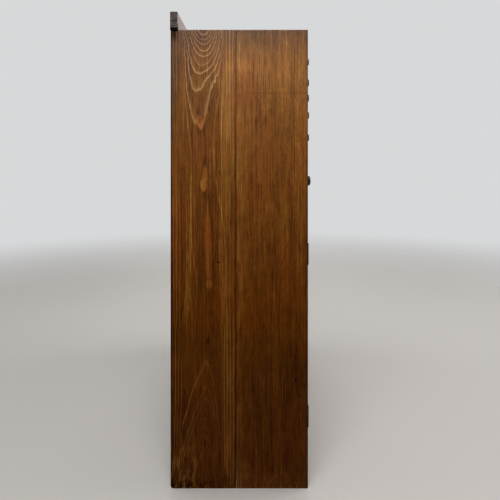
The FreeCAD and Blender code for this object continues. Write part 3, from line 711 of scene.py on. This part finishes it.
def backWood(look):
    # Rough unpainted boards, each from another plank, stained by damp and by the nails
    net = Net("backBoardWood")
    x, y, z = net.point()
    place = (x - look["low"]) / look["width"]
    board = place.floor()
    across = (place - board - 0.5) * look["width"]
    seed = board * 7.3 + look["seed"]
    heart = net.noise(seed, 0, 0, 0) * 0.16 - 0.08
    sideways = across - heart + (net.noise(z * 1.5 + seed, 0, 0, 1) - 0.5) * 0.05
    behind = net.noise(0, z * 1.3, seed, 1) * 0.09 + 0.015
    rings = length(sideways, behind) / look["spacing"] + net.noise(across * 45 + seed, z * 4, 0) * 0.8
    grain = layGrain(net, z, across, y, {**look, "seed": seed}, rings)
    edge = (look["width"] / 2 - abs(across)).step(0.0035, 0)
    level = abs(z - look["nailRows"][0])
    for row in look["nailRows"][1:]:
        level = level.least(abs(z - row))
    aside = abs(abs(across) - look["nailAside"])
    rust = (aside * aside + level * level * 0.4).root().step(0.012, 0.002)
    damp = net.noise(x * 7, z * 5, 3, 3, 0.6)
    tide = z.step(0.16, 0.02) * damp.step(0.3, 0.6)
    teeth = (z * look["sawPitch"] + net.noise(x * 12, z * 12, 0) * 14).sine()
    saw = teeth * net.noise(x * 5, z * 6, 8).step(0.5, 0.62)
    plank = net.noise(board * 5.7, 3, 0, 0) * 0.36 - 0.18
    grain["tone"] += plank - edge * look["edgeDark"] - rust * look["rustDark"] - tide * look["tideDark"]
    grain["tone"] += saw * 0.025 + (damp - 0.5) * look["dampDark"]
    grain["fibre"] += saw * 0.1
    return finishWood(net, grain, look, net.shades(grain["tone"], look["shades"]), 0)


dress("back_boards", backWood(backBoards))
print("back boards dressed")

drawerLook = {
    **anyBoard, "frontThick": 0.014, "lap": 0.004, "sideThick": 0.008, "tailPitch": 0.03, "halfPin": 0.0022,
    "slope": 1 / 6, "bottomTop": 0.0063, "ringShow": 0.26, "streakShow": 0.45, "fibreShow": 0.36, "polish": 0.45,
    "edge": 0.22, "edgeReach": 0.002, "seam": 0.00045, "skin": 0.0004,
    "handled": 0.12, "seamDark": 0.42, "endDark": 0.26, "dirtDark": 0.12, "hand": (0.03, 0.022),
}


def drawerWood(name, seed, wash, knobs):
    # Stained front with its grain level, bare sides lapped into it with tails, bare back and bottom
    look = {**drawerLook, "seed": seed, "wash": wash, "taper": 0.03}
    low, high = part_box(name)
    face, root = low[1], low[1] + look["frontThick"]
    middle, half, height = (low[0] + high[0]) / 2, (high[0] - low[0]) / 2, high[2] - low[2]
    look["pith"] = (low[2] - 0.02 + 0.01 * (seed % 3), 0.035)
    count = max(1, round(height / look["tailPitch"]))
    pitch = height / count
    halfRoot = pitch / 2 - look["halfPin"] - (look["frontThick"] - look["lap"]) * look["slope"]
    net = Net(name + "Wood")
    x, y, z = net.point()
    atSide = abs(x - middle).over(half - look["sideThick"])
    onSkin = abs(x - middle).over(half - look["skin"])
    fromTail = abs(((z - low[2]) / pitch).fract() - 0.5) * pitch - (root - y) * look["slope"]
    lapped = y.over(face + look["lap"]) * y.under(root)
    tail = fromTail.under(halfRoot)
    side = atSide * (y.over(root) + lapped * tail).clamp()
    seam = lapped * abs(fromTail - halfRoot).under(look["seam"])
    seam = (seam + tail * abs(y - face - look["lap"]).under(look["seam"])).clamp() * onSkin
    bottom = y.over(root) * (1 - atSide) * z.under(low[2] + look["bottomTop"])
    along = x + (y - x) * side
    across = z + (y - z) * bottom
    deep = y + (x - y) * side + (z - y) * bottom
    deep -= face + (middle - face) * side + (low[2] - face) * bottom
    grain = layGrain(net, along, across, deep, look, sawnRings(net, along, across, deep, look))
    rubbed = rubbedEdges(net, (x, y, z), (low, (high[0], root, high[2])), look["edgeReach"])
    shown = y.step(face + 0.0026, face + 0.0014)
    handled = 0
    for place in knobs:
        handled = spot(x, z, place, look["hand"]) * (net.noise(x * 90, z * 90, 1) * 0.8 + 0.6) + handled
    endGrain = lapped * atSide * (1 - tail) * onSkin
    dirt = net.noise(x * 22, y * 22, z * 22, 3, 0.6).step(0.5, 0.7) * (1 - shown)
    dark = rubbed * look["edge"] * shown + handled * shown * look["handled"] + seam * look["seamDark"]
    grain["tone"] -= dark + endGrain * look["endDark"] + dirt * look["dirtDark"]
    return finishFaced(net, grain, look, shown)


drawerWash = ("d8cfae", "cbbf9e", "e0d6b4", "c6b795", "d3c6a3")      # how far each front has darkened
knobRadius, knobLift = 0.0128, 0.00035      # of the large knobs; how far any knob stands above the drawer's middle
drawers = [name for name in nodes if name.startswith(("drawer_", "wide_drawer_")) and name[-1].isdigit()]
knobPlaces = {}
for number, name in enumerate(sorted(drawers)):
    middle, level = middleOf(name)
    level += knobLift
    if name.startswith("wide"):
        knobLow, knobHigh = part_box(name + "_knobs")
        knobPlaces[name] = [(knobLow[0] + knobRadius, level), (knobHigh[0] - knobRadius, level)]
    else:
        knobPlaces[name] = [(middle, level)]
    wash = drawerWash[number * 3 % len(drawerWash)]
    dress(name, drawerWood(name, 120 + number * 3.7, wash, knobPlaces[name]))
print("drawers dressed:", len(drawers))

doorLook = {
    **anyBoard, "stile": 0.052, "topRail": 0.052, "bottomRail": 0.066, "ringShow": 0.16, "streakShow": 0.45,
    "fibreShow": 0.45, "polish": 0.4, "edge": 0.24, "seam": 0.00035, "wash": "b3a583", "seamDark": 0.35,
    "knobIn": 0.026, "knobUp": 0.392, "hand": (0.026, 0.05), "handDark": 0.12,
    "tongue": 0.0075, "bevel": 0.034, "dustDark": 0.22,
}


def doorFrameWood(name, seed):
    # Stiles run the whole height, rails lie between them; a hairline shows where they meet
    low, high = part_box(name)
    look = {**doorLook, "plane": low[1], "pith": (0.02, 0.05), "taper": 0.03}
    middle, half = (low[0] + high[0]) / 2, (high[0] - low[0]) / 2
    net = Net(name + "Wood")
    x, y, z = net.point()
    fromJoint = abs(x - middle) - (half - look["stile"])
    stile = fromJoint.over(0)
    along, across = x + (z - x) * stile, z + (x - z) * stile
    look["seed"] = (x.over(middle) * 3 + 5) * stile + z.over(0.34) * (1 - stile) * 9 + seed
    grain = layGrain(net, along, across, y, look, sawnRings(net, along, across, y, look))
    atRail = (z.under(low[2] + look["bottomRail"]) + z.over(high[2] - look["topRail"])).clamp()
    seam = abs(fromJoint).under(look["seam"]) * atRail
    grasp = (middle - math.copysign(half - look["knobIn"], middle), look["knobUp"])
    grime = spot(x, z, grasp, look["hand"]) * (net.noise(x * 70, z * 70, 1) * 0.8 + 0.5)
    scuffs = net.noise(x * 30, z * 60, 6, 3, 0.6).step(0.52, 0.64) * z.step(0.15, 0.08) * 0.1
    grain["tone"] -= rubbedEdges(net, (x, y, z), (low, high)) * look["edge"]
    grain["tone"] -= seam * look["seamDark"] + grime * look["handDark"] + scuffs
    shown = y.step(high[1] - 0.0005, high[1] - 0.002)
    return finishFaced(net, grain, look, shown)


def doorPanelWood(name, seed):
    # Crown-cut panel, dusty in the groove of its frame and along the step of its field
    low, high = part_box(name)
    middle, level = middleOf(name)
    look = {**doorLook, "seed": seed, "ringShow": 0.26, "plane": low[1], "pith": (middle + 0.02, 0.062), "taper": 0.12}
    net = Net(name + "Wood")
    x, y, z = net.point()
    grain = layGrain(net, z, x, y, look, sawnRings(net, z, x, y, look))
    fromSight = (high[0] - low[0]) / 2 - look["tongue"] - abs(x - middle)
    fromSight = fromSight.least((high[2] - low[2]) / 2 - look["tongue"] - abs(z - level))
    dust = fromSight.step(0.01, 0) * (net.noise(x * 50, z * 50, 1) * 0.8 + 0.3)
    dust += abs(fromSight - look["bevel"]).step(0.0022, 0) * 0.35
    grain["tone"] -= dust * look["dustDark"]
    shown = y.step(-0.134, -0.1356)
    return finishFaced(net, grain, look, shown)


for side, seed in (("left", 211), ("right", 233)):
    door = "door_" + side
    dress(door + "_frame", doorFrameWood(door + "_frame", seed))
    dress(door + "_panel", doorPanelWood(door + "_panel", seed + 7))
print("doors dressed")


def ironFor(name, look):
    # Forged iron gone brown, rust where it isn't rubbed
    net = Net(name)
    x, y, z = net.point()
    rust = net.noise(x * 150, y * 150, z * 150, 4, 0.62).step(*look["rust"])
    pitted = net.noise(x * 900, y * 900, z * 900)
    colour = net.mix(rust, stain(look["iron"]), stain(look["brown"]))
    colour = net.mix(pitted.step(0.35, 0.7) * 0.35, colour, stain("140e0a"))
    relief = net.node("Bump", {}, {"Strength": 0.5, "Distance": 0.0002, "Height": rust * 0.6 + pitted})
    return net.surface({"Base Color": colour, "Roughness": rust * 0.3 + pitted * 0.18 + 0.32,
                        "Metallic": 0.9 - rust * 0.65, "Normal": relief})


hingeIron = ironFor("hingeIron", {"iron": "4a4541", "brown": "4b2a18", "rust": (0.48, 0.66)})
screwIron = ironFor("screwIron", {"iron": "8a8279", "brown": "6b4a30", "rust": (0.55, 0.72)})
for name in ("hinge_fixed_leaves", "door_left_hinge_leaves", "door_right_hinge_leaves"):
    dress(name, hingeIron)
print("hinges dressed")

knobFace = -0.1456      # the drawers' faces, where every knob stands


def knobWood(name, look):
    # Turned wood, dark where the finish stayed in the neck and rubbed on the rim
    look = {**anyKnob, **look}
    net = Net(name)
    x, y, z = net.point()
    out = knobFace - y
    grain = layGrain(net, y, x, z, look, x * 260 + net.noise(x * 90, y * 30, z * 90) * 2)
    turned = (y * 5200).sine() * net.noise(y * 300, 0, 2).step(0.45, 0.6)
    rim = abs(out - look["rimOut"]).step(look["rimReach"], 0)
    patch = net.noise(x * 130, y * 130, z * 130, 3).step(0.42, 0.62)
    tone = grain["tone"] + rim * patch * look["rubbed"] - out.step(0.006, 0) * 0.2 + turned * 0.02
    relief = net.node("Bump", {}, {"Strength": 0.25, "Distance": 0.0003, "Height": grain["fibre"] + turned * 0.25})
    return net.surface({"Base Color": net.shades(tone, look["shades"]), "Roughness": patch * 0.16 + look["rough"],
                        "Normal": relief, "Specular IOR Level": 0.25,
                        "Coat Weight": rim * 0.2 + 0.15, "Coat Roughness": 0.35})


anyKnob = {**anyBoard, "streakShow": 0.4, "rimOut": 0.0165, "rimReach": 0.003, "rubbed": 0.22, "rough": 0.38}
knobLooks = {
    "smallKnobWood": {"seed": 301, "shades": ((0.06, "120a06"), (0.34, "2a1810"), (0.62, "40271a"), (0.94, "6b4a34"))},
    "topRowKnobWood": {"seed": 311, "shades": ((0.06, "2c1f18"), (0.34, "4b382d"), (0.62, "665044"), (0.94, "8d7565"))},
    "largeKnobWood": {"rimOut": 0.018, "rimReach": 0.004, "rubbed": 0.2, "rough": 0.32, "seed": 331,
                      "shades": ((0.06, "060504"), (0.34, "0f0c0a"), (0.62, "1a1411"), (0.94, "3a2c22"))},
}
knobWoods = {name: knobWood(name, look) for name, look in knobLooks.items()}


def editFaces(piece, normal):
    # Into edit mode with only the faces that look along normal selected
    for part in (*piece.data.vertices, *piece.data.edges):
        part.select = False
    for face in piece.data.polygons:
        face.select = face.normal.dot(Vector(normal)) > 0.9
    bpy.ops.object.mode_set(mode="EDIT")
    bpy.ops.mesh.select_mode(type="FACE")


def turnKnob(name, look):
    # A short rod whose end is drawn out and swelled ring by ring, standing on the face at x = z = 0
    radius, out = look["rings"][0]
    bpy.ops.mesh.primitive_cylinder_add(vertices=look["sides"], radius=radius, depth=out,
                                        location=(0, knobFace - out / 2, 0), rotation=(math.pi / 2, 0, 0))
    knob = bpy.context.object
    knob.name = name
    bpy.ops.object.transform_apply()
    editFaces(knob, (0, -1, 0))
    for ringRadius, ringOut in look["rings"][1:]:
        bpy.ops.mesh.extrude_region_move(TRANSFORM_OT_translate={"value": (0, out - ringOut, 0)})
        swell = ringRadius / radius
        bpy.ops.transform.resize(value=(swell, 1, swell), center_override=(0, knobFace - ringOut, 0))
        radius, out = ringRadius, ringOut
    bpy.ops.object.mode_set(mode="OBJECT")
    bpy.ops.object.shade_smooth_by_angle(angle=math.radians(35))
    return knob


def copyOf(master, placing):
    made = master.copy()
    made.data = master.data.copy()
    bpy.context.collection.objects.link(made)
    made.data.transform(placing)
    return made


def settle(piece, name, body, material):
    piece.name = name
    coat(piece, material)
    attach(piece, body)


def placeKnob(master, name, place, body, wood):
    piece = copyOf(master, Matrix.Translation(place))
    settle(piece, name, body, knobWoods[wood])
    return piece


# Each ring of a turned knob: its radius and how far it stands out from the face
smallKnob = {
    "sides": 28,
    "rings": ((0.0062, 0.0012), (0.006, 0.0018), (0.0048, 0.0026), (0.0043, 0.0045), (0.0043, 0.0075),
              (0.005, 0.01), (0.0068, 0.0125), (0.0084, 0.0142), (0.0091, 0.0156), (0.0092, 0.0166),
              (0.0089, 0.0177), (0.008, 0.0184), (0.006, 0.0188), (0.003, 0.01895), (0.0008, 0.019)),
}
largeKnob = {
    "sides": 36,
    "rings": ((0.0084, 0.0012), (0.0082, 0.002), (0.0066, 0.003), (0.006, 0.0048), (0.0062, 0.0068),
              (0.008, 0.0098), (0.0104, 0.0126), (0.0121, 0.015), (knobRadius, 0.017), (0.0127, 0.0186),
              (0.0119, 0.0203), (0.0103, 0.0216), (0.0075, 0.0225), (0.004, 0.0229), (0.001, 0.023)),
}
screw = {"sides": 20, "radius": 0.0031, "proud": 0.00025, "buried": 0.0007, "rim": 0.00022,
         "slot": (0.008, 0.0007, 0.00045)}
nail = {"sides": 10, "radius": 0.0021, "proud": 0.0007, "buried": 0.0006, "rim": 0.0005}


def fastenerHead(name, look):
    # A round head standing proud of z = 0, its rim bevelled, with a slot filed across if it has one
    depth = look["proud"] + look["buried"]
    bpy.ops.mesh.primitive_cylinder_add(vertices=look["sides"], radius=look["radius"], depth=depth,
                                        location=(0, 0, look["proud"] - depth / 2))
    head = bpy.context.object
    head.name = name
    bpy.ops.object.transform_apply()
    editFaces(head, (0, 0, 1))
    bpy.ops.mesh.bevel(offset=look["rim"], segments=2, affect="EDGES")
    bpy.ops.object.mode_set(mode="OBJECT")
    if "slot" in look:
        bpy.ops.mesh.primitive_cube_add(size=1, location=(0, 0, look["proud"]), scale=look["slot"])
        file = bpy.context.object
        bpy.context.view_layer.objects.active = head
        cut = head.modifiers.new("slot", "BOOLEAN")
        cut.operation = "DIFFERENCE"
        cut.object = file
        bpy.ops.object.modifier_apply(modifier="slot")
        bpy.data.objects.remove(file)
    return head


def placeHead(master, place, normal, turn):
    # The head turned about its axis and set down facing along normal
    upright = Vector(normal).to_track_quat("Z", "Y").to_matrix().to_4x4()
    return copyOf(master, Matrix.Translation(place) @ upright @ Matrix.Rotation(turn, 4, "Z"))


def joinHeads(name, heads, body, material):
    bpy.ops.object.select_all(action="DESELECT")
    for head in heads:
        head.select_set(True)
    bpy.context.view_layer.objects.active = heads[0]
    if len(heads) > 1:
        bpy.ops.object.join()
    bpy.ops.object.shade_smooth_by_angle(angle=math.radians(40))
    settle(bpy.context.object, name, body, material)


smallMaster = turnKnob("smallKnobMaster", smallKnob)
largeMaster = turnKnob("largeKnobMaster", largeKnob)
for name, places in knobPlaces.items():
    for number, (x, z) in enumerate(places):
        if name.startswith("wide"):
            piece = placeKnob(largeMaster, name + "_turned_knob_" + "ab"[number], (x, 0, z), nodeBody[name],
                              "largeKnobWood")
            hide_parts(name + "_knobs")
        else:
            wood = "topRowKnobWood" if name.startswith("drawer_1") else "smallKnobWood"
            piece = placeKnob(smallMaster, name + "_turned_knob", (x, 0, z), nodeBody[name], wood)
            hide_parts(name + "_knob")
doorProud = 0.0005      # how far the doors' faces stand in front of the drawers'
for door in ("door_left", "door_right"):
    x, z = middleOf(door + "_knob")
    piece = placeKnob(largeMaster, door + "_turned_knob", (x, -doorProud, z), door, "largeKnobWood")
    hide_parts(door + "_knob")
for master in (smallMaster, largeMaster):
    bpy.data.objects.remove(master)
print("knobs turned")

screwMaster = fastenerHead("screwMaster", screw)
nailMaster = fastenerHead("nailMaster", nail)
for name, places in knobPlaces.items():
    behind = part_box(name)[0][1] + drawerLook["frontThick"]
    heads = [placeHead(screwMaster, (x, behind, z), (0, 1, 0), 0.4 + 1.3 * number + z * 40)
             for number, (x, z) in enumerate(places)]
    joinHeads(name + "_knob_screw", heads, nodeBody[name], screwIron)
# Screws of a hinge leaf: their heights on it, how far behind the front, and where the two leaves' faces lie
hingeScrews = {"levels": (0.0075, 0.025, 0.0425), "row": 0.0108, "leaf": 0.05, "doorFace": 0.431, "endFace": 0.432}
for side, sign in (("left", -1), ("right", 1)):
    door = "door_" + side
    x, z = middleOf(door + "_knob")
    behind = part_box(door + "_frame")[1][1]
    doorHeads, fixedHeads = [placeHead(screwMaster, (x, behind, z), (0, 1, 0), 0.9)], []
    leafLow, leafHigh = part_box(door + "_hinge_leaves")
    y = frontY + hingeScrews["row"]
    for foot in (leafLow[2], leafHigh[2] - hingeScrews["leaf"]):
        for number, level in enumerate(hingeScrews["levels"]):
            place = (sign * hingeScrews["doorFace"], y, foot + level)
            doorHeads.append(placeHead(screwMaster, place, (sign, 0, 0), number * 1.1 + foot * 30))
            place = (sign * hingeScrews["endFace"], y, foot + level)
            fixedHeads.append(placeHead(screwMaster, place, (-sign, 0, 0), number * 0.8 + foot * 20))
    joinHeads(door + "_screws", doorHeads, door, screwIron)
    joinHeads("hinge_screws_" + side, fixedHeads, "carcase", screwIron)
nailHeads = []
for row, level in enumerate(backBoards["nailRows"]):
    for board in range(backBoards["count"]):
        middle = backBoards["low"] + (board + 0.5) * backBoards["width"]
        for sign in (-1, 1):
            stray = math.sin(row * 7.1 + board * 3.3 + sign) * 0.003
            place = (middle + sign * backBoards["nailAside"] + stray, backY, level + stray * 0.8)
            nailHeads.append(placeHead(nailMaster, place, (0, 1, 0), board))
joinHeads("back_nails", nailHeads, "carcase", hingeIron)
for master in (screwMaster, nailMaster):
    bpy.data.objects.remove(master)
print("screws and nails set")
